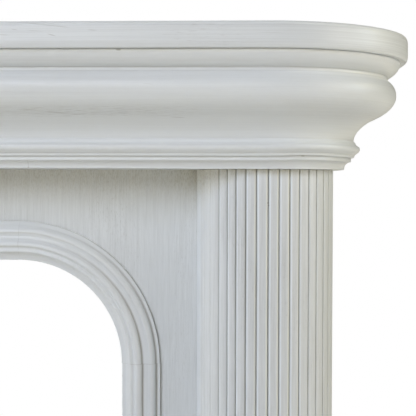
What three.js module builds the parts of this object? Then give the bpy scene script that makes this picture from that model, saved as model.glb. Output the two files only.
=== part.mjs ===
// A fireplace mantelpiece of whitewashed wood: a shelf on a deep moulded cornice that turns
// both front corners on a large radius, reeded half-round columns, a flat front board with a
// round-cornered fire opening, and a moulding planted round that opening.
// Millimetres. X runs along the shelf, the room is towards -Y, the wall is at +Y, Z is up.
// The origin is on the floor, under the middle of the whole piece.

import * as THREE from 'three';

// Driving sizes
const openingWidth = 900;
const openingHeight = 904.5;
const openingCornerRadius = 117;
const headToShelfTop = 245.5;
const overallDepth = 240;

const shelfThickness = 25.9;
const shelfTopEdgeSetback = 2.2;
const shelfTopEdgeDrop = 5.5;
const shelfLowerEdgeSetback = 3.4;
const shelfLowerEdgeRise = 7;

const cornerRadius = 157.5;
const corniceDrop = 117;

const columnRadius = 76.5;
const columnAxisFromOpening = 161;
const reedPitch = 9;
const reedPhase = 1.6;
const grooveDepth = 2.6;
const grooveHalfAngle = 0.85;
const reedShoulderDrop = 0.35;

const boardThickness = 20;

const plinthHeight = 120;
const plinthProjection = 11.5;
const plinthEdgeHeight = 14;
const plinthEdgeSetback = 8;

// Hairline left between two pieces that touch
const jointGap = 0.3;

// Facets
const cornerSteps = 16;
const archSteps = 14;
const curveSteps = 7;
const archSectionSteps = 4;

// Sizes that follow
const overallHeight = openingHeight + headToShelfTop;
const halfOpening = openingWidth / 2;
const columnX = halfOpening + columnAxisFromOpening;
const halfShelf = columnX + cornerRadius;
const frontY = -overallDepth / 2;
const wallY = overallDepth / 2;
const panelY = frontY + cornerRadius;
const panelBackY = panelY + boardThickness;
const sideX = columnX + columnRadius;
const shelfUnderside = overallHeight - shelfThickness;
const corniceBottom = shelfUnderside - corniceDrop;
const springHeight = openingHeight - openingCornerRadius;

// Finishes
const finishes = {
  paint: { color: 0xd3d6d6, roughness: 0.52, metalness: 0 },
  trim: { color: 0xd6d8da, roughness: 0.5, metalness: 0 },
};

const mantelpiece = new THREE.Group();
mantelpiece.name = 'fireplace_mantelpiece';

function addPiece(name, geometry, finish) {
  const mesh = new THREE.Mesh(geometry, new THREE.MeshStandardMaterial(finishes[finish]));
  mesh.name = name;
  mantelpiece.add(mesh);
}

// Two nodes, left and right, from one geometry built on the +X side
function addPair(name, geometry, finish) {
  addPiece(`${name}_right`, geometry, finish);
  addPiece(`${name}_left`, mirrored(geometry), finish);
}

function mirrored(geometry) {
  const copy = geometry.clone();
  const position = copy.getAttribute('position');
  for (let i = 0; i < position.count; i += 1) {
    position.setX(i, -position.getX(i));
  }
  const index = copy.getIndex().array;
  for (let i = 0; i < index.length; i += 3) {
    const first = index[i];
    index[i] = index[i + 1];
    index[i + 1] = first;
  }
  copy.computeVertexNormals();
  return copy;
}

// Closed solid through a row of rings that hold the same number of points, each ring a closed
// loop of [x, y, z], with flat caps. capPlanes gives, for the first and the last cap, the two
// axes that it lies along.
function solidThroughRings(rings, capPlanes) {
  const points = [];
  const indexOf = new Map();
  const lookUp = (p) => {
    const key = p.map((v) => Math.round(v * 1e4)).join(',');
    if (!indexOf.has(key)) {
      indexOf.set(key, points.length);
      points.push(p);
    }
    return indexOf.get(key);
  };
  const ringIndices = rings.map((ring) => ring.map(lookUp));
  const triangles = [];
  const addTriangle = (a, b, c) => {
    if (a !== b && b !== c && c !== a) {
      triangles.push(a, b, c);
    }
  };
  for (let r = 0; r + 1 < rings.length; r += 1) {
    const near = ringIndices[r];
    const far = ringIndices[r + 1];
    for (let i = 0; i < near.length; i += 1) {
      const j = (i + 1) % near.length;
      addTriangle(near[i], near[j], far[j]);
      addTriangle(near[i], far[j], far[i]);
    }
  }
  const last = rings.length - 1;
  for (const which of [0, last]) {
    const [u, v] = capPlanes[which === 0 ? 0 : 1];
    const flat = rings[which].map((p) => new THREE.Vector2(p[u], p[v]));
    const ringTurn = Math.sign(THREE.ShapeUtils.area(flat));
    for (const corners of THREE.ShapeUtils.triangulateShape(flat, [])) {
      const turn = Math.sign(THREE.ShapeUtils.area(corners.map((k) => flat[k])));
      const [a, b, c] = corners.map((k) => ringIndices[which][k]);
      const alongRing = turn === ringTurn;
      if (alongRing === (which === last)) {
        addTriangle(a, b, c);
      } else {
        addTriangle(a, c, b);
      }
    }
  }
  const geometry = new THREE.BufferGeometry();
  geometry.setAttribute('position', new THREE.Float32BufferAttribute(points.flat(), 3));
  geometry.setIndex(triangles);
  return outwardFacing(geometry);
}

// Turns every facet over when the volume comes out negative
function outwardFacing(geometry) {
  const position = geometry.getAttribute('position');
  const index = geometry.getIndex().array;
  const [a, b, c] = [new THREE.Vector3(), new THREE.Vector3(), new THREE.Vector3()];
  let volume = 0;
  for (let i = 0; i < index.length; i += 3) {
    a.fromBufferAttribute(position, index[i]);
    b.fromBufferAttribute(position, index[i + 1]);
    c.fromBufferAttribute(position, index[i + 2]);
    volume += a.dot(b.cross(c));
  }
  if (volume < 0) {
    for (let i = 0; i < index.length; i += 3) {
      const first = index[i];
      index[i] = index[i + 1];
      index[i + 1] = first;
    }
  }
  geometry.computeVertexNormals();
  return geometry;
}

// Points of a drawn path, without repeats
function pathPoints(path, divisions) {
  const kept = [];
  for (const p of path.getPoints(divisions)) {
    const last = kept[kept.length - 1];
    if (!last || last.distanceTo(p) > 0.01) {
      kept.push(p);
    }
  }
  return kept;
}

// Straight board or block between two corners
function block(x0, x1, y0, y1, z0, z1) {
  const ring = (z) => [[x0, y0, z], [x1, y0, z], [x1, y1, z], [x0, y1, z]];
  return solidThroughRings([ring(z0), ring(z1)], [[0, 1], [0, 1]]);
}

// Cornice profile, drawn as setback from the shelf's front edge against depth below the
// shelf: ovolo, fillet, large ogee, fillet, bead, quirk, band and a small cove.
function corniceProfile() {
  const ovoloSetback = 8.1;
  const ovoloFoot = { setback: 23, depth: 16.2 };
  const belly = { setback: 12.3, depth: 36.4 };
  const waist = { setback: 35, depth: 60.8 };
  const ogeeFoot = { setback: 58.8, depth: 85.8 };
  const fillet = { setback: 56.9, depth: 87.2 };
  const bead = { setback: 55.6, depth: 94.6, radius: 4.1 };
  const beadTop = THREE.MathUtils.degToRad(214);
  const beadFoot = THREE.MathUtils.degToRad(129.6);
  const quirkDepth = 104.5;
  const band = { setback: 61.4, depth: 108.4 };
  const coveFoot = { setback: 68.9, depth: 115.4 };

  const path = new THREE.Path();
  path.moveTo(ovoloSetback, jointGap);
  path.lineTo(ovoloSetback, jointGap + 1);
  path.bezierCurveTo(9, 6.8, 13.4, 13.8, ovoloFoot.setback, ovoloFoot.depth);
  path.lineTo(ovoloFoot.setback - 0.6, 19.5);
  path.bezierCurveTo(17.4, 22.4, belly.setback, 27.8, belly.setback, belly.depth);
  path.bezierCurveTo(belly.setback, 47.1, 23.1, 55.6, waist.setback, waist.depth);
  path.bezierCurveTo(43.4, 64, 58.4, 74.2, ogeeFoot.setback, ogeeFoot.depth);
  path.lineTo(fillet.setback, fillet.depth);
  path.lineTo(fillet.setback - 1.3, fillet.depth + 2.8);
  path.lineTo(fillet.setback - 3.5, fillet.depth + 4.4);
  path.absarc(bead.setback, bead.depth, bead.radius, beadTop, beadFoot, true);
  path.lineTo(57.5, 101.2);
  path.lineTo(57.9, quirkDepth - 0.8);
  path.lineTo(61.8, quirkDepth);
  path.lineTo(band.setback, quirkDepth + 0.9);
  path.lineTo(band.setback, band.depth);
  path.quadraticCurveTo(67.8, band.depth + 0.7, coveFoot.setback, coveFoot.depth);
  path.lineTo(coveFoot.setback + 0.2, corniceDrop);
  return pathPoints(path, curveSteps);
}

// The cornice section closed by a flat back at the given setback
function corniceSection(backSetback) {
  const section = corniceProfile();
  section.push(new THREE.Vector2(backSetback, corniceDrop));
  section.push(new THREE.Vector2(backSetback, jointGap));
  return section;
}

function corniceFront() {
  const section = corniceSection(cornerRadius - jointGap);
  const end = columnX - jointGap / 2;
  const ring = (x) => section.map((p) => [x, frontY + p.x, shelfUnderside - p.y]);
  return solidThroughRings([ring(-end), ring(end)], [[1, 2], [1, 2]]);
}

function corniceCorner() {
  const section = corniceSection(cornerRadius);
  const rings = [];
  for (let i = 0; i <= cornerSteps; i += 1) {
    const angle = (i / cornerSteps) * (Math.PI / 2);
    const ring = section.map((p) => {
      const reachX = Math.max(0, cornerRadius - jointGap / 2 - p.x);
      const reachY = Math.max(0, cornerRadius - jointGap - p.x);
      const x = columnX + jointGap / 2 + reachX * Math.sin(angle);
      const y = panelY - jointGap - reachY * Math.cos(angle);
      return [x, y, shelfUnderside - p.y];
    });
    rings.push(ring);
  }
  return solidThroughRings(rings, [[1, 2], [0, 2]]);
}

function corniceSide() {
  const section = corniceSection(halfShelf - sideX - jointGap);
  const ring = (y) => section.map((p) => [halfShelf - p.x, y, shelfUnderside - p.y]);
  return solidThroughRings([ring(panelY), ring(wallY)], [[0, 2], [0, 2]]);
}

// Plan of the shelf, set back all round but at the wall
function shelfPlan(setback) {
  const plan = [];
  const radius = cornerRadius - setback;
  for (let i = 0; i <= cornerSteps; i += 1) {
    const angle = (i / cornerSteps) * (Math.PI / 2);
    plan.push([columnX + radius * Math.sin(angle), panelY - radius * Math.cos(angle)]);
  }
  plan.push([halfShelf - setback, wallY]);
  const otherHalf = plan.map(([x, y]) => [-x, y]).reverse();
  return plan.concat(otherHalf);
}

function shelf() {
  const edge = new THREE.Path();
  edge.moveTo(shelfLowerEdgeSetback, shelfUnderside);
  edge.quadraticCurveTo(0.4, shelfUnderside, 0, shelfUnderside + shelfLowerEdgeRise);
  edge.lineTo(0, overallHeight - shelfTopEdgeDrop);
  edge.quadraticCurveTo(0.6, overallHeight - 1.4, shelfTopEdgeSetback, overallHeight);
  const edgeSteps = 4;
  const rings = pathPoints(edge, edgeSteps).map((p) => {
    return shelfPlan(p.x).map(([x, y]) => [x, y, p.y]);
  });
  return solidThroughRings(rings, [[0, 1], [0, 1]]);
}

// Half-round column: flat-topped reeds parted by narrow V grooves, as a plan extruded upwards
function columnPlan() {
  const halfTurn = 90;
  const at = (degrees, radius) => {
    const angle = THREE.MathUtils.degToRad(degrees);
    return [columnX + radius * Math.sin(angle), panelY - jointGap - radius * Math.cos(angle)];
  };
  const plan = [at(-halfTurn, columnRadius - grooveDepth / 2)];
  const crown = columnRadius;
  const shoulder = columnRadius - reedShoulderDrop;
  for (let groove = reedPhase - halfTurn; groove < halfTurn; groove += reedPitch) {
    plan.push(at(groove, columnRadius - grooveDepth));
    plan.push(at(groove + grooveHalfAngle, shoulder));
    plan.push(at(Math.min(groove + reedPitch / 2, halfTurn), crown));
    const farShoulder = groove + reedPitch - grooveHalfAngle;
    if (farShoulder < halfTurn) {
      plan.push(at(farShoulder, shoulder));
    }
  }
  plan.push(at(halfTurn, crown));
  return plan;
}

function column() {
  const plan = columnPlan();
  const ring = (z) => plan.map(([x, y]) => [x, y, z]);
  const rings = [ring(plinthHeight + jointGap), ring(corniceBottom - jointGap)];
  return solidThroughRings(rings, [[0, 1], [0, 1]]);
}

// One flat board with both legs and the frieze, cut out round the fire opening
function frontPanel() {
  const bottom = plinthHeight + jointGap;
  const top = shelfUnderside - jointGap;
  const radius = openingCornerRadius;
  const quarter = Math.PI / 2;
  const shape = new THREE.Shape();
  shape.moveTo(-sideX, bottom);
  shape.lineTo(-halfOpening, bottom);
  shape.lineTo(-halfOpening, springHeight);
  shape.absarc(radius - halfOpening, springHeight, radius, 2 * quarter, quarter, true);
  shape.lineTo(halfOpening - radius, openingHeight);
  shape.absarc(halfOpening - radius, springHeight, radius, quarter, 0, true);
  shape.lineTo(halfOpening, bottom);
  shape.lineTo(sideX, bottom);
  shape.lineTo(sideX, top);
  shape.lineTo(-sideX, top);
  const outline = pathPoints(shape, archSteps);
  const ring = (y) => outline.map((p) => [p.x, y, p.y]);
  return solidThroughRings([ring(panelY), ring(panelBackY)], [[0, 2], [0, 2]]);
}

// Moulding round the opening, drawn as distance out from the opening against height above
// the board: a cove up to a crest, a quirk, a raised quarter round, a second cove, a smaller
// quarter round and a flat fillet.
function archSection() {
  const lip = { out: 0.6, height: 4.9 };
  const crest = { out: 9.9, height: 11.3 };
  const quirk = { out: 13, height: 10.6 };
  const ridge = { out: 17.5, height: 13.3 };
  const ridgeFoot = { out: 23.1, height: 8.6 };
  const cove = { out: 23.6, height: 7.7 };
  const roundTop = { out: 32, height: 10.1 };
  const roundFoot = { out: 38.4, height: 4.4 };
  const fillet = { out: 38.9, height: 3.5 };
  const outerEdge = 43.8;

  const path = new THREE.Path();
  path.moveTo(0, 0);
  path.lineTo(0, lip.height - 0.6);
  path.lineTo(lip.out, lip.height);
  path.quadraticCurveTo(6.8, lip.height + 1.3, crest.out - 0.7, crest.height - 0.7);
  path.lineTo(crest.out, crest.height);
  path.lineTo(crest.out + 1.3, crest.height + 0.1);
  path.lineTo(quirk.out, quirk.height);
  path.lineTo(quirk.out + 1.4, quirk.height + 0.2);
  path.lineTo(ridge.out - 1.4, ridge.height - 0.4);
  path.lineTo(ridge.out, ridge.height);
  path.quadraticCurveTo(22, ridge.height - 0.4, ridgeFoot.out, ridgeFoot.height);
  path.lineTo(cove.out, cove.height);
  path.quadraticCurveTo(28.3, cove.height + 0.1, roundTop.out - 1.1, roundTop.height - 0.5);
  path.lineTo(roundTop.out, roundTop.height);
  path.quadraticCurveTo(37.3, roundTop.height - 0.5, roundFoot.out, roundFoot.height);
  path.lineTo(fillet.out, fillet.height);
  path.lineTo(outerEdge - 1, fillet.height + 0.2);
  path.lineTo(outerEdge, fillet.height - 1.3);
  path.lineTo(outerEdge, 0);
  return pathPoints(path, archSectionSteps);
}

const archBackY = panelY - jointGap;

function archJamb() {
  const section = archSection();
  const ring = (z) => section.map((p) => [halfOpening + p.x, archBackY - p.y, z]);
  const rings = [ring(plinthHeight + jointGap), ring(springHeight - jointGap / 2)];
  return solidThroughRings(rings, [[0, 1], [0, 1]]);
}

function archHead() {
  const section = archSection();
  const end = halfOpening - openingCornerRadius - jointGap / 2;
  const ring = (x) => section.map((p) => [x, archBackY - p.y, openingHeight + p.x]);
  return solidThroughRings([ring(-end), ring(end)], [[1, 2], [1, 2]]);
}

function archCorner() {
  const section = archSection();
  const rings = [];
  for (let i = 0; i <= archSteps; i += 1) {
    const angle = (i / archSteps) * (Math.PI / 2);
    const ring = section.map((p) => {
      const radius = openingCornerRadius + p.x - jointGap / 2;
      const x = halfOpening - openingCornerRadius + jointGap / 2 + radius * Math.cos(angle);
      const z = springHeight + jointGap / 2 + radius * Math.sin(angle);
      return [x, archBackY - p.y, z];
    });
    rings.push(ring);
  }
  return solidThroughRings(rings, [[0, 1], [1, 2]]);
}

// Boards behind the front one, from it back to the wall
const returnFrontY = panelBackY + jointGap;

function sidePanel() {
  const top = shelfUnderside - jointGap;
  return block(sideX - boardThickness, sideX, returnFrontY, wallY, plinthHeight + jointGap, top);
}

function innerReturn() {
  const outer = halfOpening + boardThickness;
  const top = openingHeight - jointGap;
  return block(halfOpening, outer, returnFrontY, wallY, plinthHeight + jointGap, top);
}

function soffitBoard() {
  const end = halfOpening + boardThickness;
  return block(-end, end, returnFrontY, wallY, openingHeight, openingHeight + boardThickness);
}

// Plinth block under one leg: square to the opening, rounded about the column's axis outside
function plinthPlan(setback) {
  const radius = columnRadius + plinthProjection - setback;
  const plan = [[halfOpening, wallY], [halfOpening, panelY - radius]];
  for (let i = 0; i <= cornerSteps; i += 1) {
    const angle = (i / cornerSteps) * (Math.PI / 2);
    plan.push([columnX + radius * Math.sin(angle), panelY - radius * Math.cos(angle)]);
  }
  plan.push([columnX + radius, wallY]);
  return plan;
}

function plinth() {
  const edge = new THREE.Path();
  const shoulder = plinthHeight - plinthEdgeHeight;
  edge.moveTo(0, 0);
  edge.lineTo(0, shoulder);
  edge.quadraticCurveTo(1, plinthHeight - 4, plinthEdgeSetback - 1, plinthHeight - 3);
  edge.lineTo(plinthEdgeSetback, plinthHeight - 3);
  edge.lineTo(plinthEdgeSetback, plinthHeight);
  const edgeSteps = 4;
  const rings = pathPoints(edge, edgeSteps).map((p) => {
    return plinthPlan(p.x).map(([x, y]) => [x, y, p.y]);
  });
  return solidThroughRings(rings, [[0, 1], [0, 1]]);
}

addPiece('shelf', shelf(), 'paint');
addPiece('cornice_front', corniceFront(), 'paint');
addPair('cornice_corner', corniceCorner(), 'paint');
addPair('cornice_side', corniceSide(), 'paint');
addPiece('front_panel', frontPanel(), 'paint');
addPair('column', column(), 'paint');
addPiece('arch_head', archHead(), 'trim');
addPair('arch_corner', archCorner(), 'trim');
addPair('arch_jamb', archJamb(), 'trim');
addPair('side_panel', sidePanel(), 'paint');
addPair('inner_return', innerReturn(), 'paint');
addPiece('soffit_board', soffitBoard(), 'paint');
addPair('plinth', plinth(), 'paint');

export default mantelpiece;
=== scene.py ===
# A whitewashed wood fireplace mantelpiece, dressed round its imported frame.
# Metres. X runs along the shelf, the room is towards -Y, the wall is at +Y, Z is up.
import math

import bmesh
import bpy
import numpy as np
from mathutils import Matrix, Vector


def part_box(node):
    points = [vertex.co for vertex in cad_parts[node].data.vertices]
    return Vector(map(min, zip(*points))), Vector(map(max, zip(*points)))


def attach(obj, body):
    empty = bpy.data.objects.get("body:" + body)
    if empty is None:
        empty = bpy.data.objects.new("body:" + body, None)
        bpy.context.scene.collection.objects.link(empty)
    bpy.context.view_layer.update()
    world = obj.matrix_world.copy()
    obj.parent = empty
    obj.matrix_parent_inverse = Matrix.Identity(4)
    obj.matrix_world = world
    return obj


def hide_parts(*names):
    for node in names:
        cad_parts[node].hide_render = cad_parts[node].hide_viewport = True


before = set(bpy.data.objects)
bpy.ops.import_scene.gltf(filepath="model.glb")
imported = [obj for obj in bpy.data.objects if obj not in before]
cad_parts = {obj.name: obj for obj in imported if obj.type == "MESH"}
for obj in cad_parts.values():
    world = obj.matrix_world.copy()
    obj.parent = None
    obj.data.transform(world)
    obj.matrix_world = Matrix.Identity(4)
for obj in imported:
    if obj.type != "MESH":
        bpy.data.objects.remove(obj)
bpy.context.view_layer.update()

MM = 0.001

# Places read from the frame
SHELF_LOW, SHELF_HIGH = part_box("shelf")
PANEL_LOW, PANEL_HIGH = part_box("front_panel")
COLUMN_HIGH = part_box("column_right")[1]
JAMB_LOW, JAMB_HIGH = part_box("arch_jamb_right")
HEAD_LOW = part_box("arch_head")[0]
PLINTH_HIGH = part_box("plinth_right")[1]
GAP = 0.3 * MM
HALF_SHELF = SHELF_HIGH[0]
FRONT_Y = SHELF_LOW[1]
WALL_Y = SHELF_HIGH[1]
TOP_Z = SHELF_HIGH[2]
SHELF_UNDER_Z = SHELF_LOW[2]
PANEL_Y = PANEL_LOW[1]
SIDE_X = PANEL_HIGH[0]
CORNER_RADIUS = PANEL_Y - FRONT_Y
COLUMN_X = HALF_SHELF - CORNER_RADIUS
COLUMN_RADIUS = COLUMN_HIGH[0] - COLUMN_X
CORNER_END = COLUMN_X + CORNER_RADIUS * math.pi / 2
CORNICE_BOTTOM_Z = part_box("cornice_front")[0][2]
CORNICE_DROP = SHELF_UNDER_Z - CORNICE_BOTTOM_Z
COLUMN_TOP_Z = CORNICE_BOTTOM_Z - GAP
HALF_OPENING = JAMB_LOW[0]
MOULDING_WIDTH = JAMB_HIGH[0] - JAMB_LOW[0]
OPENING_TOP_Z = HEAD_LOW[2]
SPRING_Z = JAMB_HIGH[2] + GAP / 2
ARCH_RADIUS = OPENING_TOP_Z - SPRING_Z
ARCH_BACK_Y = PANEL_Y - GAP
PLINTH_TOP_Z = PLINTH_HIGH[2]
PLINTH_RADIUS = PLINTH_HIGH[0] - COLUMN_X

# Directions
UP = (0, 0, 1)
DOWN = (0, 0, -1)
ROOMWARDS = (0, -1, 0)
WALLWARDS = (0, 1, 0)

# Mesh fineness
SECTION_STEP = 0.55 * MM
FINE_STEP = 0.4 * MM
PAINT_RADIUS = 0.45 * MM
CORNER_STATIONS = 72
ARCH_STATIONS = 60
RUN_STATION = 30 * MM
SMALLEST_STEP = 1e-7
WELD_DISTANCE = 1e-6
SHARP_ANGLE = math.radians(38)

# Over what length a turn of an outline spreads its hollow and ridge values, and how strongly
TURN_SPREAD = 0.9 * MM
TURN_GAIN = 4.5

# The grain's shift for each unit of seed, and its length along an outline's hidden sides
GRAIN_SHIFT = np.array([1.7, 0.31, 0.53])
HIDDEN_GIRTH = 0.01

# Seeds of the grain, to which pieces that come twice add their side, 1 or -1
SEEDS = {
    "cornice": 1, "shelf": 11, "plinth": 14, "column": 21, "jamb": 31, "head": 35, "arch_corner": 37,
    "front_board": 41, "leg_side": 50, "opening_return": 54, "soffit": 58,
}


# Outlines

def curve(start, first, second, end, count=24):
    """Points of a cubic curve, without its start."""
    t = np.linspace(0, 1, count + 1)[1:, None]
    a, b, c, d = (np.array(p, float) for p in (start, first, second, end))
    return list((1 - t) ** 3 * a + 3 * (1 - t) ** 2 * t * b + 3 * (1 - t) * t ** 2 * c + t ** 3 * d)


def bend(start, middle, end, count=16):
    """Points of a quadratic curve, without its start."""
    a, b, c = (np.array(p, float) for p in (start, middle, end))
    return curve(a, a + (b - a) * 2 / 3, c + (b - c) * 2 / 3, c, count)


def arc(centre, radius, first, last, count=24):
    """Points of an arc, angles in degrees."""
    angle = np.radians(np.linspace(first, last, count + 1))[:, None]
    return list(np.array(centre) + radius * np.hstack([np.cos(angle), np.sin(angle)]))


def evenly(first, last, step):
    return np.linspace(first, last, max(2, int(abs(last - first) / step) + 1))


def smoothed(values, width):
    """Running mean weighted by a bell, ends held."""
    reach = max(1, int(3 * width))
    weights = np.exp(-0.5 * (np.arange(-reach, reach + 1) / width) ** 2)
    weights /= weights.sum()
    padded = np.concatenate([np.repeat(values[:1], reach, 0), values, np.repeat(values[-1:], reach, 0)])
    if values.ndim == 1:
        return np.convolve(padded, weights, "valid")
    return np.stack([np.convolve(column, weights, "valid") for column in padded.T], 1)


def climb(value, start, end):
    """0 at start, 1 at end and straight between, whichever of them is larger."""
    return np.clip((value - start) / (end - start), 0, 1)


def window(value, low, high, fade):
    """1 between low and high, falling to 0 over fade on both sides."""
    return np.clip((value - low) / fade + 1, 0, 1) * np.clip((high - value) / fade + 1, 0, 1)


def bell(value, middle, width):
    """1 at the middle, falling off smoothly on both sides."""
    return np.exp(-((value - middle) / width) ** 2)


class Section:
    """An outline resampled evenly, its sharp turns softened as paint softens them.

    girth is the distance along it, and hollow and ridge say how near each point is to an
    inner or an outer corner, from 0 to 1. The materials darken the colour by hollow, as painted shade, and
    lighten or tint it by ridge, as painted light or shade, as each piece below sets them.
    """

    def __init__(self, points, step=SECTION_STEP, soft=PAINT_RADIUS, inner_turn=1):
        points = np.array(points, float)
        reach = np.concatenate([[0], np.cumsum(np.linalg.norm(np.diff(points, axis=0), axis=1))])
        keep = np.concatenate([[True], np.diff(reach) > SMALLEST_STEP])
        points, reach = points[keep], reach[keep]
        count = int(reach[-1] / step) + 1
        self.girth = np.linspace(0, reach[-1], count)
        even = np.stack([np.interp(self.girth, reach, points[:, k]) for k in (0, 1)], 1)
        self.points = smoothed(even, soft / step)
        self.points[0], self.points[-1] = even[0], even[-1]
        way = np.gradient(even, axis=0)
        heading = np.unwrap(np.arctan2(way[:, 1], way[:, 0]))
        turn = np.gradient(heading) * inner_turn
        spread = TURN_SPREAD / step
        self.hollow = np.clip(smoothed(np.clip(turn, 0, None), spread) * TURN_GAIN, 0, 1)
        self.ridge = np.clip(smoothed(np.clip(-turn, 0, None), spread) * TURN_GAIN, 0, 1)


# Meshes

def side_name(side):
    return "right" if side > 0 else "left"


def new_object(name, mesh):
    piece = bpy.data.objects.new(name, mesh)
    bpy.context.scene.collection.objects.link(piece)
    return piece


def make_piece(name, nodes, points, faces, values, material, seed):
    """A piece from points and faces, with its grain, hollow and ridge values, in place of CAD nodes."""
    mesh = bpy.data.meshes.new(name)
    mesh.from_pydata([tuple(p) for p in points], [], faces)
    grain, hollow, ridge = values
    layer = mesh.attributes.new("grain", "FLOAT_VECTOR", "POINT")
    layer.data.foreach_set("vector", np.ascontiguousarray(grain + seed * GRAIN_SHIFT).ravel())
    for label, numbers in (("hollow", hollow), ("ridge", ridge)):
        layer = mesh.attributes.new(label, "FLOAT", "POINT")
        layer.data.foreach_set("value", np.ascontiguousarray(numbers))
    mesh.update()
    shape = bmesh.new()
    shape.from_mesh(mesh)
    bmesh.ops.remove_doubles(shape, verts=shape.verts, dist=WELD_DISTANCE)
    bmesh.ops.recalc_face_normals(shape, faces=shape.faces)
    shape.to_mesh(mesh)
    shape.free()
    mesh.shade_smooth()
    mesh.set_sharp_from_angle(angle=SHARP_ANGLE)
    mesh.materials.append(material)
    piece = new_object(name, mesh)
    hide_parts(*nodes)
    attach(piece, "root")
    return piece


def grid_faces(rows, columns, closed):
    """Quads between rows of points, each row joined end to start where it is closed."""
    faces = []
    for row in range(rows - 1):
        for column in range(columns if closed else columns - 1):
            after = (column + 1) % columns
            low, high = row * columns, (row + 1) * columns
            faces.append((low + column, low + after, high + after, high + column))
    return faces


def swept(name, node, section, stations, material, seed, closing=(), drift=None, painted_shading=None):
    """A closed solid along stations.

    A station is (origin, across, up, along): a section point (a, b) lies at
    origin + a * across + b * up. closing holds the outline's further corners, which are
    hidden behind it. drift(along, section) moves the section's points at one station, and the
    last argument, a function of (along, section), gives there the painted shade in its hollows
    and the painted light or shade on its ridges.
    """
    extra = np.array(closing, float).reshape(-1, 2)
    count = len(section.points) + len(extra)
    beyond = section.girth[-1] + HIDDEN_GIRTH * np.arange(1, len(extra) + 1)
    girth = np.concatenate([section.girth, beyond])
    unshaded = np.zeros(len(extra))
    points, grain, hollow, ridge = [], [], [], []
    for origin, across, up, along in stations:
        outline = section.points if drift is None else drift(along, section)
        outline = np.concatenate([outline, extra])
        points.append(np.array(origin) + outline[:, :1] * np.array(across) + outline[:, 1:] * np.array(up))
        grain.append(np.stack([np.full(count, along), girth, np.zeros(count)], 1))
        glazed, ridge_shading_share = (section.hollow, section.ridge) if painted_shading is None else painted_shading(along, section)
        hollow += [glazed, unshaded]
        ridge += [ridge_shading_share, unshaded]
    faces = grid_faces(len(stations), count, True)
    faces.append(tuple(range(count)))
    last = (len(stations) - 1) * count
    faces.append(tuple(range(last + count - 1, last - 1, -1)))
    values = (np.concatenate(grain), np.concatenate(hollow), np.concatenate(ridge))
    return make_piece(name, [node], np.concatenate(points), faces, values, material, seed)


# Cornice

# Lines of painted shade along the front: strength, first and last depth below the shelf, fade
PAINTED_SHADE_LINES = ((0.4, 4, 11, 2), (0.25, 70, 84, 4), (0.5, 92.4, 95, 0.8), (0.4, 112.5, 115, 1.2))

# Rises of the corners' lower mouldings: millimetres, middle and width in degrees round the corner
CORNER_RISES = ((0.5, 18.5, 5), (0.8, 32, 22))
FOOT_RISE = 0.8 * MM


def cornice_section():
    """Setback from the shelf's edge against depth below its underside."""
    top_setback, gap = 8.1, GAP / MM
    ovolo, belly, waist, ogee_foot = (23, 16.2), (12.3, 36.4), (35, 60.8), (58.8, 85.8)
    bead_centre, bead_radius = (55.6, 94.6), 4.1
    quirk = 104.5
    points = [(top_setback, gap), (top_setback, gap + 1)]
    points += curve(points[-1], (9.0, 6.8), (13.4, 13.8), ovolo)
    points += [(ovolo[0] - 0.6, 19.5)]
    points += curve(points[-1], (17.4, 22.4), (belly[0], 27.8), belly)
    points += curve(belly, (belly[0], 47.1), (23.1, 55.6), waist)
    points += curve(waist, (43.4, 64), (58.4, 74.2), ogee_foot)
    points += [(56.9, 87.2), (55.6, 90), (53.4, 91.6)]
    points += arc(bead_centre, bead_radius, 214, 129.6, 16)
    points += [(57.5, 101.2), (57.9, quirk - 0.8), (61.8, quirk), (61.4, quirk + 0.9), (61.4, 108.4)]
    points += bend(points[-1], (67.8, 109.1), (68.9, 115.4))
    points += [(69.1, CORNICE_DROP / MM)]
    section = Section(np.array(points) * MM)
    depth = section.points[:, 1] / MM
    above_bead = window(depth, 86, 93, 1.5)
    section.hollow *= 1 - 0.8 * above_bead
    # The ridge values are painted highlights on the tops of the ovolo and the belly.
    ovolo_highlight = bell(depth, 1.6, 2)
    belly_highlight = window(depth, 18.2, 22, 2)
    section.ridge = np.clip(ovolo_highlight + 0.8 * belly_highlight, 0, 1)
    return section


def cornice_painted_shading(along, section):
    """Painted shade in the creases and in lines along the middle of the front, and painted highlights on
    the ovolo's and the belly's tops, brighter towards the corner.
    """
    depth = section.points[:, 1] / MM
    aside = abs(along) / MM
    line_shade = sum(strength * window(depth, *place) for strength, *place in PAINTED_SHADE_LINES)
    line_shade += 0.3 * window(depth, 30, 43, 5) * climb(aside, 540, 420)
    line_shade *= climb(aside, 690, 600)
    top = 0.55 + 0.45 * climb(aside, 400, 650)
    belly = 0.15 + 0.85 * climb(aside, 600, 680)
    return np.clip(section.hollow + line_shade, 0, 1), section.ridge * np.where(depth < 10, top, belly)


def cornice_back(setback):
    """The hidden corners of the cornice's outline, at its foot and at its top."""
    return [(setback, CORNICE_DROP), (setback, GAP)]


def front_drift(along, section):
    """Towards the middle the cornice's foot lies a little higher."""
    depth = section.points[:, 1] / MM
    towards_middle = climb(abs(along), COLUMN_X - 75 * MM, COLUMN_X - 165 * MM)
    moved = section.points.copy()
    moved[:, 1] -= FOOT_RISE * towards_middle * climb(depth, 109, 115)
    return moved


def cornice_front(section, material):
    stations = []
    for x in evenly(-COLUMN_X, COLUMN_X, RUN_STATION):
        stations.append(((x, FRONT_Y, SHELF_UNDER_Z), WALLWARDS, DOWN, x))
    swept("cornice_front_run", "cornice_front", section, stations, material, SEEDS["cornice"],
          cornice_back(PANEL_Y - GAP - FRONT_Y), front_drift, cornice_painted_shading)


def corner_drift(along, section):
    """The bead, quirk and band rise a little where the curve was eased into the straight run."""
    degrees = math.degrees((abs(along) - COLUMN_X) / CORNER_RADIUS)
    rise = MM * sum(amount * bell(degrees, middle, width) for amount, middle, width in CORNER_RISES)
    depth = section.points[:, 1] / MM
    moved = section.points.copy()
    moved[:, 1] -= rise * climb(depth, 87, 95) * climb(depth, 114, 109)
    return moved


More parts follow.
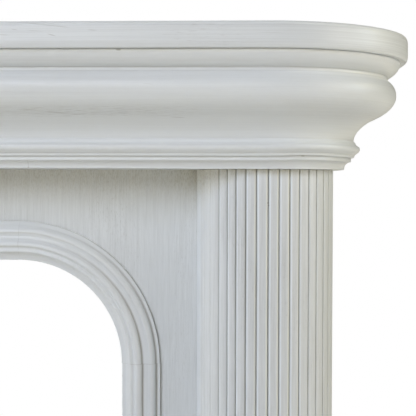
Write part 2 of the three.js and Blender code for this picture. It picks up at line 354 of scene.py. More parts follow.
def cornice_corner(side, section, material):
    stations = [((side * COLUMN_X, FRONT_Y, SHELF_UNDER_Z), WALLWARDS, DOWN, side * COLUMN_X)]
    centre = np.array([side * (COLUMN_X + GAP / 2), PANEL_Y - GAP, SHELF_UNDER_Z])
    reach = np.array([CORNER_RADIUS - GAP / 2, CORNER_RADIUS - GAP, 0])
    for angle in np.linspace(0, math.pi / 2, CORNER_STATIONS + 1):
        out = np.array([side * math.sin(angle), -math.cos(angle), 0])
        along = side * (COLUMN_X + GAP / 2 + angle * CORNER_RADIUS)
        stations.append((centre + out * reach, -out, DOWN, along))
    stations.append(((side * HALF_SHELF, PANEL_Y, SHELF_UNDER_Z), (-side, 0, 0), DOWN, side * CORNER_END))
    label = side_name(side)
    swept(f"cornice_corner_turn_{label}", f"cornice_corner_{label}", section, stations, material,
          SEEDS["cornice"], cornice_back(CORNER_RADIUS - GAP), corner_drift, cornice_painted_shading)


def cornice_side(side, section, material):
    stations = []
    for y in evenly(PANEL_Y, WALL_Y, RUN_STATION / 2):
        along = side * (CORNER_END + y - PANEL_Y)
        stations.append(((side * HALF_SHELF, y, SHELF_UNDER_Z), (-side, 0, 0), DOWN, along))
    label = side_name(side)
    swept(f"cornice_return_{label}", f"cornice_side_{label}", section, stations, material,
          SEEDS["cornice"], cornice_back(HALF_SHELF - SIDE_X - GAP), painted_shading=cornice_painted_shading)


# Shelf and plinths: a nose carried round a plan

def carried_round(name, node, nose, plan, material, seed, inner_corner=None):
    """A slab whose edge is nose, a section of (setback, z), carried along plan.

    plan holds (point, outward, along). inner_corner closes the plan where its two ends
    don't face each other.
    """
    rows, columns = len(plan), len(nose.points)
    points, grain = [], []
    for (x, y), (ox, oy), along in plan:
        setback, height = nose.points[:, 0], nose.points[:, 1]
        points.append(np.stack([x - ox * setback, y - oy * setback, height], 1))
        grain.append(np.stack([np.full(columns, along), height, setback], 1))
    faces = grid_faces(rows, columns, False)
    first = list(range(columns))
    final = list(range((rows - 1) * columns, rows * columns))
    bottom = [row * columns for row in range(rows)]
    top = [row * columns + columns - 1 for row in range(rows)]
    count = rows * columns
    if inner_corner is None:
        faces.append(tuple(first + final[::-1]))
    else:
        x, y = inner_corner
        points.append(np.array([[x, y, nose.points[0, 1]], [x, y, nose.points[-1, 1]]]))
        grain.append(np.array([[0, 0, 10 * HIDDEN_GIRTH], [0, 0, 20 * HIDDEN_GIRTH]]))
        low, high = count, count + 1
        faces += [tuple(first + [high, low]), tuple([low, high] + final[::-1])]
        bottom.append(low)
        top.append(high)
        count += 2
    faces += [tuple(bottom[::-1]), tuple(top)]
    unshaded = np.zeros(count - rows * columns)
    hollow = np.concatenate([np.tile(nose.hollow, rows), unshaded])
    ridge = np.concatenate([np.tile(nose.ridge, rows), unshaded])
    values = (np.concatenate(grain), hollow, ridge)
    return make_piece(name, [node], np.concatenate(points), faces, values, material, seed)


def rounded_plan(centre_x, radius, side, start=0.0):
    """Half a plan, from start on the front, round the corner, to the wall."""
    plan = []
    for x in evenly(start, centre_x, RUN_STATION)[:-1]:
        plan.append(((side * x, PANEL_Y - radius), (0, -1), side * x))
    for angle in np.linspace(0, math.pi / 2, CORNER_STATIONS + 1):
        out = (side * math.sin(angle), -math.cos(angle))
        place = (side * centre_x + radius * out[0], PANEL_Y + radius * out[1])
        plan.append((place, out, side * (centre_x + angle * radius)))
    far = centre_x + radius * math.pi / 2
    for y in evenly(PANEL_Y, WALL_Y, RUN_STATION / 2)[1:]:
        plan.append(((side * (centre_x + radius), y), (side, 0), side * (far + y - PANEL_Y)))
    return plan


def shelf_nose():
    """The shelf's edge, without painted shade, and with painted light along its rounded top."""
    low, high = SHELF_UNDER_Z / MM, TOP_Z / MM
    lip = low - 0.1
    points = [(3.9, low), (3.5, lip), (3.1, lip)]
    points += bend(points[-1], (0.6, low), (0, low + 7))
    points += bend((0, high - 5.5), (0.6, high - 1.4), (2.2, high))
    nose = Section(np.array(points) * MM, step=FINE_STEP, soft=0.15 * MM)
    nose.hollow = np.zeros(len(nose.points))
    nose.ridge = window(nose.points[:, 1] / MM, high - 2.6, high, 1.2)
    return nose


def shelf(material):
    right = rounded_plan(COLUMN_X, CORNER_RADIUS, 1)
    left = rounded_plan(COLUMN_X, CORNER_RADIUS, -1)
    carried_round("shelf_board", "shelf", shelf_nose(), left[:0:-1] + right, material, SEEDS["shelf"])


def plinth(side, material):
    """A block with a small step at its top, rounded in front like the column above it."""
    high = PLINTH_TOP_Z / MM
    step_setback, step_low = 8, high - 3
    points = [(0, 0), (0, high - 14)]
    points += bend(points[-1], (1, high - 4), (step_setback - 1, step_low))
    points += [(step_setback, step_low), (step_setback, high)]
    nose = Section(np.array(points) * MM)
    plan = rounded_plan(COLUMN_X, PLINTH_RADIUS, side, HALF_OPENING)
    corner = (side * HALF_OPENING, WALL_Y)
    label = side_name(side)
    carried_round(f"plinth_block_{label}", f"plinth_{label}", nose, plan, material,
                  SEEDS["plinth"] + side, corner)


# Columns, angles in degrees from the front, the right side positive

REED_PITCH = 9.0
REED_PHASE = 1.6
REED_POINTS = 25
GROOVE_DEPTH = 2.6 * MM
GROOVE_HALF_ANGLE = 0.72
SHALLOW_GROOVES_BEFORE = -52
SHALLOW_SHARE = 0.35
# How far down from the cornice painted shade fills the grooves
SHADED_TOP = 28 * MM

# Each groove's small error, in degrees, as hand work leaves it
GROOVE_ERRORS = (
    0, 0, 0.3, -0.4, 0.2, 1.7, 1.4, 0.4, -0.1, -0.3,
    0.1, -0.15, -0.2, -0.8, -0.5, -0.7, 0, 0.3, -0.2, 0,
)


def groove_angles():
    return [REED_PHASE - 90 + k * REED_PITCH + error for k, error in enumerate(GROOVE_ERRORS)]


def plan_point(degrees, radius):
    turn = math.radians(degrees)
    return (radius * math.sin(turn), -radius * math.cos(turn))


def column_section():
    """Plan of the half round, from the board's left contact round the front to the right one."""
    points = [plan_point(-90, COLUMN_RADIUS - GROOVE_DEPTH / 2)]
    grooves = groove_angles()
    for groove, after in zip(grooves, grooves[1:] + [grooves[-1] + REED_PITCH]):
        depth = GROOVE_DEPTH * (SHALLOW_SHARE if groove < SHALLOW_GROOVES_BEFORE else 1)
        points.append(plan_point(groove, COLUMN_RADIUS - depth))
        crown = (0.3 + 0.3 * window(groove, -50, -16, 6)) * MM
        for share in np.linspace(0, 1, REED_POINTS):
            angle = groove + GROOVE_HALF_ANGLE + share * (after - groove - 2 * GROOVE_HALF_ANGLE)
            if angle < 90:
                points.append(plan_point(angle, COLUMN_RADIUS - crown * (2 * share - 1) ** 2))
    points.append(plan_point(90, COLUMN_RADIUS - 0.2 * MM))
    section = Section(points, step=0.45 * MM, soft=0.3 * MM, inner_turn=-1)
    reed_painted_shading(section, grooves)
    return section


def reed_painted_shading(section, grooves):
    """Painted shade in the grooves and towards each reed's right, painted highlights on the right and left
    edges, and painted cool light on the inner flank.

    The cool highlights and the cool light are ridge values below 0, and grooves keeps the hollows alone.
    """
    angle = np.degrees(np.arctan2(section.points[:, 0], -section.points[:, 1]))
    which = np.clip(np.searchsorted(grooves, angle) - 1, 0, len(grooves) - 2)
    starts = np.array(grooves)[which]
    ends = np.array(grooves)[which + 1]
    share = np.clip((angle - starts) / (ends - starts), 0, 1)
    section.grooves = section.hollow
    # Painted shade: groove darkening weighed by where the column faces, darker right sides of the left
    # reeds, darker middles of the front reeds, and an overall darkening.
    front_share = 0.15 + 0.85 * window(angle, -18, 90, 20)
    outer_share = 1 - 0.45 * window(angle, 34, 95, 8)
    side_shade = 0.30 * climb(share, 0.3, 0.9) * window(angle, -44, -16, 9)
    middle_shade = 0.14 * np.clip(1.3 - 2.6 * abs(share - 0.45), 0, 1) * window(angle, -12, 34, 6)
    overall_shade = 0.12 * window(angle, -48, 100, 6)
    hollow_shade = section.grooves * front_share * outer_share + side_shade + middle_shade + overall_shade
    section.hollow = np.clip(hollow_shade, 0, 1)
    # Painted highlights: warm on the right edges of the front reeds, cool on their left edges, and cool
    # painted light on the inner flank.
    warm_edge_highlight = bell(share, 0.87, 0.06) * window(angle, -6, 24, 9)
    cool_edge_highlight = bell(share, 0.15, 0.07) * window(angle, -38, 26, 6)
    cool_flank_light = 0.7 * window(angle, -95, -72, 6)
    section.ridge = warm_edge_highlight - cool_edge_highlight - cool_flank_light


def column_painted_shade(along, section):
    """Painted shade fills the grooves of the topmost part, under the cornice."""
    near = climb(along, COLUMN_TOP_Z - SHADED_TOP, COLUMN_TOP_Z)
    return np.maximum(section.hollow, near * section.grooves), section.ridge


def column(side, section, material):
    heights = list(evenly(PLINTH_TOP_Z + GAP, COLUMN_TOP_Z - SHADED_TOP, RUN_STATION))
    heights += [COLUMN_TOP_Z - 0.45 * SHADED_TOP, COLUMN_TOP_Z]
    stations = [((side * COLUMN_X, PANEL_Y - GAP, z), (side, 0, 0), WALLWARDS, z) for z in heights]
    label = side_name(side)
    swept(f"reeded_column_{label}", f"column_{label}", section, stations, material,
          SEEDS["column"] + side, painted_shading=column_painted_shade)


# Moulding round the opening

# Gentler outer slopes at the head: distances out from the opening and heights above the board
HEAD_SLOPES = (
    ((21, 23, 25, 27.5), (11.8, 10, 8.5, 7.95)),
    ((35, 37, 38.5, 40, 42, 43.8), (9.15, 7.8, 6.5, 5.3, 4.0, 2.8)),
)
FOOT_HEIGHT = 0.6
CORNER_INSET = 0.5 * MM


def arch_section():
    """Distance out from the opening against height above the board."""
    points = [(0, 0), (0, 4.4), (0.5, 4.9)]
    points += bend(points[-1], (6.8, 6.2), (9.2, 10.6))
    points += [(9.9, 11.3), (11.2, 11.4), (13, 10.6), (14.4, 10.8), (16.1, 12.9), (17.5, 13.3)]
    points += bend(points[-1], (22, 12.9), (23.1, 8.6))
    points += [(23.6, 7.7)]
    points += bend(points[-1], (28.3, 7.8), (30.9, 9.6))
    points += [(32, 10.1)]
    points += bend(points[-1], (37.3, 9.6), (38.4, 4.4))
    points += [(38.9, 3.5), (42.7, 3.7), (43.2, 3.3), (43.8, 2.2), (43.8, 0)]
    section = Section(np.array(points) * MM, step=FINE_STEP, soft=0.35 * MM)
    out = section.points[:, 0] / MM
    # The hollow values are painted shade in the outer hollows and on the outer edge, and the ridge values
    # painted shade on the slopes that face the opening, which face down at the head.
    outer_edge = climb(out, 43, 43.4)
    cove = window(out, 25.5, 31, 1)
    hollow = np.maximum(1.4 * section.hollow * (out > 21), outer_edge)
    section.hollow = np.clip(hollow, 0, 1) * (1 - 0.65 * cove)
    section.ridge = bell(out, 31.2, 1.1) + bell(out, 15.7, 1) + 0.5 * window(out, 2.5, 8.6, 1)
    return section


def turn_share(along):
    """0 at the jamb's end of the opening's corner, 1 at the head's."""
    return climb(along, 0, ARCH_RADIUS * math.pi / 2)


def eased_section(share, section):
    """Towards the head the moulding's outer slopes are gentler."""
    out, height = section.points[:, 0] / MM, section.points[:, 1] / MM
    moved = section.points.copy()
    for places, heights in HEAD_SLOPES:
        inside = (out > places[0]) & (out < places[-1] + 0.1) & (height > FOOT_HEIGHT)
        target = np.interp(out, places, heights) * MM
        moved[inside, 1] += share * (target - section.points[:, 1])[inside]
    return moved


def corner_easing(along, section):
    return eased_section(turn_share(along), section)


def head_easing(along, section):
    return eased_section(1, section)


# Painted shade in the jamb's hollows, none on its ridges.
def jamb_painted_shade(along, section):
    return section.hollow, 0 * section.ridge


# Little painted shade in the head's hollows, and painted shade on its slopes that face down.
def head_painted_shade(along, section):
    return 0.05 * section.hollow, section.ridge


def corner_painted_shade(along, section):
    """Painted shade lies in the outer hollows at the jamb and on the inner slopes that face down at the
    head.
    """
    turn = turn_share(along)
    return (1 - 0.95 * climb(turn, 0.15, 0.85)) * section.hollow, turn * section.ridge


def arch_jamb(side, section, material):
    heights = evenly(PLINTH_TOP_Z + GAP, SPRING_Z, RUN_STATION)
    stations = [((side * HALF_OPENING, ARCH_BACK_Y, z), (side, 0, 0), ROOMWARDS, z) for z in heights]
    label = side_name(side)
    swept(f"opening_jamb_{label}", f"arch_jamb_{label}", section, stations, material,
          SEEDS["jamb"] + side, painted_shading=jamb_painted_shade)


def arch_head(section, material):
    end = HALF_OPENING - ARCH_RADIUS
    stations = []
    for x in evenly(-end, end, RUN_STATION):
        stations.append(((x, ARCH_BACK_Y, OPENING_TOP_Z), UP, ROOMWARDS, x))
    swept("opening_head", "arch_head", section, stations, material, SEEDS["head"],
          drift=head_easing, painted_shading=head_painted_shade)


def arch_corner(side, section, material):
    centre = np.array([side * (HALF_OPENING - ARCH_RADIUS), ARCH_BACK_Y, SPRING_Z])
    stations = []
    for angle in np.linspace(0, math.pi / 2, ARCH_STATIONS + 1):
        inset = CORNER_INSET * (1 - angle * 2 / math.pi)
        out = np.array([side * math.cos(angle), 0, math.sin(angle)])
        stations.append((centre + out * (ARCH_RADIUS - inset), out, ROOMWARDS, angle * ARCH_RADIUS))
    label = side_name(side)
    swept(f"opening_corner_{label}", f"arch_corner_{label}", section, stations, material,
          SEEDS["arch_corner"] + side, drift=corner_easing, painted_shading=corner_painted_shade)


# Flat boards

BOARD_EDGE = 0.9 * MM

# Rings of the front board round the opening: distance out, and how strongly painted shade and painted light
# lie on the board there beside the head
BOARD_RINGS = (
    (0, 0), (MOULDING_WIDTH - 0.4 * MM, 1), (MOULDING_WIDTH, 1),
    (MOULDING_WIDTH + 0.3 * MM, 1), (MOULDING_WIDTH + 0.8 * MM, 0),
)


def board_values(points, along_axis):
    """Grain along one axis of a flat board."""
    points = np.array(points)
    others = [k for k in range(3) if k != along_axis]
    grain = np.stack([points[:, along_axis], points[:, others[0]], points[:, others[1]]], 1)
    return grain, np.zeros(len(points)), np.zeros(len(points))


def opening_outline(out, low_z):
    """The opening's outline moved outwards, from the right foot to the left one."""
    right = [(HALF_OPENING + out, low_z)]
    reach = ARCH_RADIUS + out
    for angle in np.linspace(0, math.pi / 2, ARCH_STATIONS + 1):
        x = HALF_OPENING - ARCH_RADIUS + reach * math.cos(angle)
        right.append((x, SPRING_Z + reach * math.sin(angle)))
    return right + [(-x, z) for x, z in reversed(right)]


def front_board(material):
    """Frieze and legs in one, cut out round the opening, with painted shade and painted light on the board
    beside its moulding at the head.
    """
    low, high = PANEL_LOW, PANEL_HIGH
    turn = np.concatenate([[0], np.linspace(0, 1, ARCH_STATIONS + 1)])
    towards_head = climb(turn, 0.3485, 0.6515)
    towards_head = np.concatenate([towards_head, towards_head[::-1]])
    points, painted_shading = [], []
    for out, strength in BOARD_RINGS:
        points += [(x, low[1], z) for x, z in opening_outline(out, low[2])]
        painted_shading.append(strength * towards_head)
    rows, ring = len(BOARD_RINGS), len(towards_head)
    faces = grid_faces(rows, ring, False)
    corners = [(low[0], low[2]), (low[0], high[2]), (high[0], high[2]), (high[0], low[2])]
    count = len(points)
    points += [(x, low[1], z) for x, z in corners]
    faces.append(tuple(range(count - ring, count)) + tuple(range(count, count + 4)))
    back = len(points)
    points += [(x, high[1], z) for x, z in opening_outline(0, low[2]) + corners]
    faces.append(tuple(range(back, back + ring + 4)))
    around = list(range(ring)) + list(range(count, count + 4))
    for here in range(ring + 4):
        after = (here + 1) % (ring + 4)
        if here == ring - 1:
            feet = [row * ring + ring - 1 for row in range(rows)]
            faces.append(tuple(feet + [count, back + ring, back + ring - 1]))
        elif here == ring + 3:
            feet = [row * ring for row in range(rows)]
            faces.append(tuple([count + 3] + feet[::-1] + [back, back + ring + 3]))
        else:
            faces.append((around[here], around[after], back + after, back + here))
    grain, hollow, ridge = board_values(points, 2)
    # Painted shade and painted light on the board beside the moulding at the head
    hollow[:count] = np.concatenate(painted_shading)
    ridge[:count] = hollow[:count]
    values = (grain, hollow, ridge)
    make_piece("front_board", ["front_panel"], points, faces, values, material, SEEDS["front_board"])


def flat_board(name, node, along_axis, material, seed):
    """A plain board with eased edges, filling its node's box."""
    low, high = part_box(node)
    shape = bmesh.new()
    bmesh.ops.create_cube(shape, size=1)
    size = [h - l for l, h in zip(low, high)]
    middle = [(h + l) / 2 for l, h in zip(low, high)]
    bmesh.ops.scale(shape, vec=size, verts=shape.verts)
    bmesh.ops.translate(shape, vec=middle, verts=shape.verts)
    bmesh.ops.bevel(shape, geom=shape.edges[:], offset=BOARD_EDGE, segments=2, affect="EDGES")
    shape.verts.index_update()
    points = [tuple(v.co) for v in shape.verts]
    faces = [tuple(v.index for v in face.verts) for face in shape.faces]
    shape.free()
    make_piece(name, [node], points, faces, board_values(points, along_axis), material, seed)


# Materials

class Nodes:
    """Short calls to add and join shader nodes."""

    def __init__(self, name):
        self.material = bpy.data.materials.new(name)
        self.material.use_nodes = True
        self.tree = self.material.node_tree
        self.shader = self.tree.nodes["Principled BSDF"]

    def add(self, kind, **settings):
        node = self.tree.nodes.new(kind)
        for key, value in settings.items():
            setattr(node, key, value)
        return node

    def join(self, source, target):
        self.tree.links.new(source, target)

    def attribute(self, name, output="Fac"):
        return self.add("ShaderNodeAttribute", attribute_name=name).outputs[output]

    def object_place(self):
        return self.add("ShaderNodeTexCoord").outputs["Object"]

    def axes(self):
        """X, Y and Z of the place on the object, in the frame's metres."""
        axes = self.add("ShaderNodeSeparateXYZ")
        self.join(self.object_place(), axes.inputs[0])
        return axes.outputs

    def noise(self, vector, scale, detail=3.0, rough=0.5):
        """Noise from 0 to 1, scale in waves a metre along each axis of vector."""
        mapping = self.add("ShaderNodeMapping")
        mapping.inputs["Scale"].default_value = scale
        self.join(vector, mapping.inputs["Vector"])
        texture = self.add("ShaderNodeTexNoise")
        texture.inputs["Scale"].default_value = 1.0
        texture.inputs["Detail"].default_value = detail
        texture.inputs["Roughness"].default_value = rough
        self.join(mapping.outputs["Vector"], texture.inputs["Vector"])
        return texture.outputs["Fac"]

    def math(self, operation, first, second=None, clamp=False):
        node = self.add("ShaderNodeMath", operation=operation, use_clamp=clamp)
        for socket, value in zip(node.inputs, (first, second)):
            if value is None:
                continue
            if isinstance(value, (int, float)):
                socket.default_value = value
            else:
                self.join(value, socket)
        return node.outputs[0]

    def ramp(self, source, low, high, out_low=0.0, out_high=1.0):
        node = self.add("ShaderNodeMapRange", clamp=True)
        values = {"From Min": low, "From Max": high, "To Min": out_low, "To Max": out_high}
        for key, value in values.items():
            node.inputs[key].default_value = value
        self.join(source, node.inputs["Value"])
        return node.outputs["Result"]

    def mix(self, factor, first, second):
        node = self.add("ShaderNodeMix", data_type="RGBA")
        self.join(factor, node.inputs["Factor"])
        for key, value in ((6, first), (7, second)):
            if isinstance(value, tuple):
                node.inputs[key].default_value = (*value, 1)
            else:
                self.join(value, node.inputs[key])
        return node.outputs[2]


# Paint, the wood's tones through it, the brown of painted shade and of small dark marks, the browns of
# painted shade and painted shadow, and the colours of painted light
WASH = (0.70, 0.715, 0.715)
WASH_DEEP = (0.56, 0.57, 0.565)
PORE = (0.40, 0.39, 0.365)
SHADE_AND_MARK_BROWN = (0.30, 0.285, 0.25)
BROWN_PAINTED_SHADE = (0.36, 0.33, 0.24)
PAINTED_SHADOW_TINT = (0.64, 0.60, 0.46)
COOL_PAINTED_LIGHT = (0.82, 0.87, 0.92)
WARM_PAINTED_LIGHT = (0.80, 0.79, 0.66)
WHITE_PAINTED_LIGHT = (0.83, 0.84, 0.82)

# Small marks: millimetres across from the middle and up from the shelf's top, half length,
# half height, slant, strength
SHELF_MARKS = (
    (392.9, -3.8, 23, 0.6, -0.109, 0.35),
    (405.5, -5.2, 12, 0.6, -0.109, 0.35),
    (363.2, -8.3, 3.4, 0.5, -0.15, 0.35),
    (399.8, -13.7, 4.4, 0.6, -0.25, 0.55),
    (352, -13.4, 7, 0.5, -0.05, 0.35),
    (439.6, -9.1, 5, 0.5, -0.06, 0.3),
    (383, -9.6, 9, 0.4, -0.08, 0.2),
    (612, -12, 14, 0.4, -0.03, 0.15),
)
CORNICE_MARKS = (
    (464, -27.2, 3, 0.9, 0, 0.75),
    (361.6, -138, 0.5, 4.4, 0, 0.35),
    (361.6, -141.6, 1.1, 0.7, 0, 0.6),
    (648.5, -129.6, 2.4, 0.9, 0, 0.6),
    (398, -86.8, 13, 0.55, -0.05, 0.4),
    (420, -88.2, 9, 0.5, 0.03, 0.4),
    (372, -84.2, 9, 0.5, -0.06, 0.35),
    (520, -91, 8, 0.5, -0.04, 0.3),
    (492, -60, 6, 0.4, -0.1, 0.2),
)
REED_MARKS = ((612.9, -178.7, 1, 1.3, 0, 0.75), (613.4, -181.3, 1, 0.9, 0, 0.7))
JOINT_MARKS = ((472, -362.5, 23, 0.5, 0, 0.3), (333, -223, 0.5, 24, 0, 0.2))

# Relief of the grain
BUMP_STRENGTH = 0.3
BUMP_DISTANCE = 0.3 * MM


def front_only(n, axes):
    """1 on everything that stands before the front board, 0 behind its face."""
    return n.ramp(axes["Y"], PANEL_Y + 4 * MM, PANEL_Y + 6 * MM, 1, 0)


def squared_share(n, distance, size):
    return n.math("POWER", n.math("ABSOLUTE", n.math("DIVIDE", distance, size)), 2)


def spots(n, marks):
    """How strongly small dark marks show, each an ellipse drawn on the front."""
    axes = n.axes()
    total = None
    for across, up, half_length, half_height, slant, strength in marks:
        aside = n.math("SUBTRACT", axes["X"], across * MM)
        rise = n.math("SUBTRACT", axes["Z"], TOP_Z + up * MM)
        rise = n.math("SUBTRACT", rise, n.math("MULTIPLY", aside, slant))
        far_aside = squared_share(n, aside, half_length * MM)
        far_up = squared_share(n, rise, half_height * MM)
        spot = n.ramp(n.math("ADD", far_aside, far_up), 0.2, 1.2, strength, 0)
        total = spot if total is None else n.math("MAXIMUM", total, spot)
    return n.math("MULTIPLY", total, front_only(n, axes))


def wandering(n, grain):
    """The grain's coordinates, pushed a little across so that its lines aren't straight."""
    drift = n.noise(grain, (2.2, 9, 9), 2.0)
    offset = n.add("ShaderNodeCombineXYZ")
    n.join(n.math("MULTIPLY", n.math("SUBTRACT", drift, 0.5), 14 * MM), offset.inputs["Y"])
    bent = n.add("ShaderNodeVectorMath", operation="ADD")
    n.join(grain, bent.inputs[0])
    n.join(offset.outputs[0], bent.inputs[1])
    return bent.outputs[0]


def grain_lines(n, grain, broad, hair, patch, lines):
    """Broad and hair-fine lines, fainter in patches, and slow changes of tone."""
    tone = n.noise(grain, (2.5, 22, 22), 2.0)
    line = n.math("MULTIPLY", n.ramp(broad, 0.36, 0.72), 0.6 * lines)
    line = n.math("ADD", line, n.math("MULTIPLY", n.ramp(hair, 0.38, 0.70), 0.6 * lines))
    line = n.math("MULTIPLY", line, n.ramp(patch, 0.3, 0.65, 0.6, 1.0))
    return n.math("ADD", line, n.ramp(tone, 0.35, 0.65, -0.02, 0.10))


def whitewash(name, lines=0.5, stretch=1.0, marks=0.3, hollow_shade=0.3, painted_ridge_shading=0.0, ridge_shading_colour=WARM_PAINTED_LIGHT, cornice_shadow=0.0, white=1.0,
              corner_highlight=0.0, painted_cool_light=0.0, dark=(), rough=False, sheen=0.0):
    """Thin white paint over brushed wood, with the grain showing through, and painted shade and light.

    lines is the strength of the grain's fine lines and stretch shortens them, marks that of
    its short dark pores, and hollow_shade that of the painted shade where hollow is above 0.
    painted_ridge_shading works where ridge is above 0, painting light, or shade where the
    colour is dark, in the colour ridge_shading_colour, and painted_cool_light paints cool light
    where ridge is below 0. cornice_shadow works on the part close under the cornice, a painted
    brown shadow. white is the paint's lightness, and corner_highlight how much lighter it is
    painted towards the shelf's corners, a painted highlight. dark lists small marks, rough adds
    the band of short marks on the cornice's belly, and sheen smooths the paint.
    """
    n = Nodes(name)
    grain = n.attribute("grain", "Vector")
    hollow, ridge = n.attribute("hollow"), n.attribute("ridge")
    bent = wandering(n, grain)
    broad = n.noise(bent, (3 * stretch, 380, 380), 2.0, 0.6)
    hair = n.noise(bent, (7 * stretch, 820, 820), 2.0, 0.5)
    short = n.noise(bent, (45 + 25 * stretch, 1000, 900), 2.0, 0.6)
    patch = n.noise(grain, (5, 16, 12), 2.0)

    paint = tuple(white * part for part in WASH)
    # Painted highlight: the paint is lighter towards the shelf's corners.
    if corner_highlight:
        highlighted_paint = tuple((white + corner_highlight) * part for part in WASH)
        paint = n.mix(corner_highlight_share(n), paint, highlighted_paint)
    line = grain_lines(n, grain, broad, hair, patch, lines)
    clamped_line = n.math("ADD", line, 0.0, True)
    colour = n.mix(clamped_line, paint, WASH_DEEP)
    pore = n.math("MULTIPLY", n.ramp(short, 0.58, 0.72), n.ramp(patch, 0.46, 0.64, 0.1, 1.0))
    colour = n.mix(n.math("MULTIPLY", pore, marks), colour, PORE)
    # Painted shade in the hollows.
    hollow_shade_share = n.math("MULTIPLY", hollow, n.ramp(patch, 0.2, 0.8, 0.7 * hollow_shade, 1.15 * hollow_shade), True)
    colour = n.mix(hollow_shade_share, colour, SHADE_AND_MARK_BROWN)
    # Painted light on the ridges, or painted shade where the colour given is dark.
    if painted_ridge_shading:
        ridge_shading_share = n.math("MULTIPLY", ridge, n.ramp(hair, 0.3, 0.6, painted_ridge_shading, 0.6 * painted_ridge_shading), True)
        colour = n.mix(ridge_shading_share, colour, ridge_shading_colour)
    # Painted cool light where ridge is below 0.
    if painted_cool_light:
        colour = n.mix(n.math("MULTIPLY", ridge, -painted_cool_light, True), colour, COOL_PAINTED_LIGHT)
    # Painted brown shadow close under the cornice.
    if cornice_shadow:
        near, speckled = painted_cornice_shadow(n, bent)
        colour = n.mix(n.math("MULTIPLY", near, cornice_shadow, True), colour, PAINTED_SHADOW_TINT)
        colour = n.mix(n.math("MULTIPLY", speckled, 0.9 * cornice_shadow, True), colour, BROWN_PAINTED_SHADE)
    if rough:
        colour = n.mix(rough_band(n, short), colour, PORE)
    if dark:
        broken = n.ramp(hair, 0.35, 0.5, 0.6, 1.0)
        colour = n.mix(n.math("MULTIPLY", spots(n, dark), broken), colour, SHADE_AND_MARK_BROWN)
    n.join(colour, n.shader.inputs["Base Color"])

    n.join(n.ramp(hair, 0.3, 0.7, 0.40 - sheen, 0.56 - sheen), n.shader.inputs["Roughness"])
    bump = n.add("ShaderNodeBump")
    bump.inputs["Strength"].default_value = BUMP_STRENGTH
    bump.inputs["Distance"].default_value = BUMP_DISTANCE
    carved = n.math("ADD", n.math("MULTIPLY", line, 0.6), n.math("MULTIPLY", pore, 0.8))
    n.join(n.math("SUBTRACT", 1.0, carved), bump.inputs["Height"])
    n.join(bump.outputs["Normal"], n.shader.inputs["Normal"])
    return n.material


def painted_cornice_shadow(n, bent):
    """Painted brown shadow close under the cornice, reaching lower on the board than on the reeds.

    It gives the painted shadow's strength and that of its darker speckles.
    """
    board_reach, reed_reach, corner_reach = 44 * MM, 9 * MM, 30 * MM
    axes = n.axes()
    aside = n.math("ABSOLUTE", axes["X"])
    reach = n.ramp(aside, COLUMN_X - 66 * MM, COLUMN_X - 30 * MM, board_reach, reed_reach)
    below = n.math("SUBTRACT", CORNICE_BOTTOM_Z, axes["Z"])
    near = n.math("SUBTRACT", 1.0, n.math("DIVIDE", below, reach), True)
    corner = n.math("SUBTRACT", 1.0, n.math("DIVIDE", below, corner_reach), True)
    corner = n.math("MULTIPLY", corner, n.ramp(aside, COLUMN_X - 108 * MM, COLUMN_X - 78 * MM, 0.0, 0.7))
    corner = n.math("MULTIPLY", corner, n.ramp(aside, COLUMN_X - 70 * MM, COLUMN_X - 50 * MM, 1.0, 0.0))
    near = n.math("ADD", n.math("POWER", near, 1.3), corner)
    outside = n.ramp(aside, SIDE_X - 3 * MM, SIDE_X - 1 * MM)
    near = n.math("MULTIPLY", near, n.math("MAXIMUM", front_only(n, axes), outside))
    speckle = n.noise(bent, (260, 800, 700), 3.0, 0.7)
    streak = n.noise(bent, (40, 500, 400), 3.0, 0.6)
    uneven = n.math("MULTIPLY", near, n.ramp(streak, 0.36, 0.62, 0.6, 1.0))
    return uneven, n.math("MULTIPLY", near, n.ramp(speckle, 0.47, 0.62))


def corner_highlight_share(n):
    """Share of the painted highlight: 0 along the middle of the front, 1 towards its corners."""
    aside = n.math("ABSOLUTE", n.axes()["X"])
    return n.ramp(aside, COLUMN_X + 45 * MM, COLUMN_X + 115 * MM)


def rough_band(n, short):
    """A band of short dark grain marks along the lower belly of the cornice, on its right part."""
    band_z = TOP_Z - 85.5 * MM
    axes = n.axes()
    off = n.math("ABSOLUTE", n.math("SUBTRACT", axes["Z"], band_z))
    band = n.ramp(off, 2 * MM, 6.5 * MM, 1.0, 0.0)
    left = n.ramp(axes["X"], 260 * MM, 380 * MM)
    right = n.ramp(axes["X"], 490 * MM, 560 * MM, 1.0, 0.1)
    share = n.math("MULTIPLY", n.math("MULTIPLY", left, right), band)
    return n.math("MULTIPLY", share, n.ramp(short, 0.48, 0.66, 0.0, 0.45))


def floor_material():
    n = Nodes("pale_floor")
    cloud = n.noise(n.object_place(), (1.5, 1.5, 1.5), 2.0)
    n.join(n.mix(cloud, (0.80, 0.80, 0.79), (0.84, 0.84, 0.83)), n.shader.inputs["Base Color"])
    n.shader.inputs["Roughness"].default_value = 0.8
    return n.material


# Stage

FLOOR_RADIUS = 3.0
FLOOR_SIDES = 96

# Light thrown up by far floors: strength straight up, colour
BOUNCE = 2.96
BOUNCE_COLOUR = (1.0, 0.912, 0.725)

LIGHT_AIM = (0.52, -0.1, 1.0)
LIGHT_DISTANCE = 3.2

